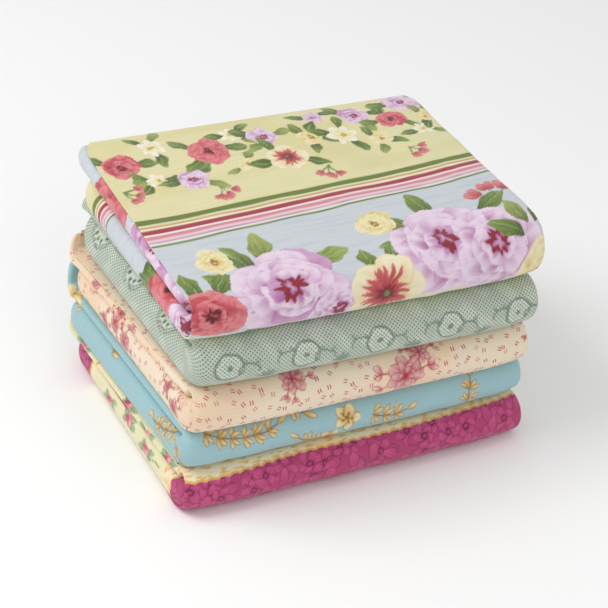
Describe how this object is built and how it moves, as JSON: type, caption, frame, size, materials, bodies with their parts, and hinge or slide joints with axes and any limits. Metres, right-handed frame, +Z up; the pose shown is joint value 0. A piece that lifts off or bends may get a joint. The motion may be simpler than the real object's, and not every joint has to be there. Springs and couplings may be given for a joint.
{
  "type": "stack of folded fabrics",
  "caption": "Stack of folded printed cotton cuts, each with a round front fold, turned ends and layered open back.",
  "frame": {"origin": "bottom centre of the whole stack's box, on the surface that it lies on", "axes": "+X along the front folds, to the right as seen from the front; -Y towards the front folds; +Z up through the layers"},
  "size_m": [0.2968, 0.2502, 0.1939],
  "materials": {
    "magenta_cotton": "matt plain-woven cotton, printed",
    "blue_cotton": "matt plain-woven cotton, printed",
    "cream_cotton": "matt plain-woven cotton, printed",
    "sage_cotton": "matt plain-woven cotton, printed",
    "rose_cotton": "matt plain-woven cotton, printed"
  },
  "bodies": {
    "root": {"magenta_cloth": "magenta_cotton", "blue_cloth": "blue_cotton", "cream_cloth": "cream_cotton", "sage_cloth": "sage_cotton", "rose_cloth": "rose_cotton"}
  },
  "joints": []
}
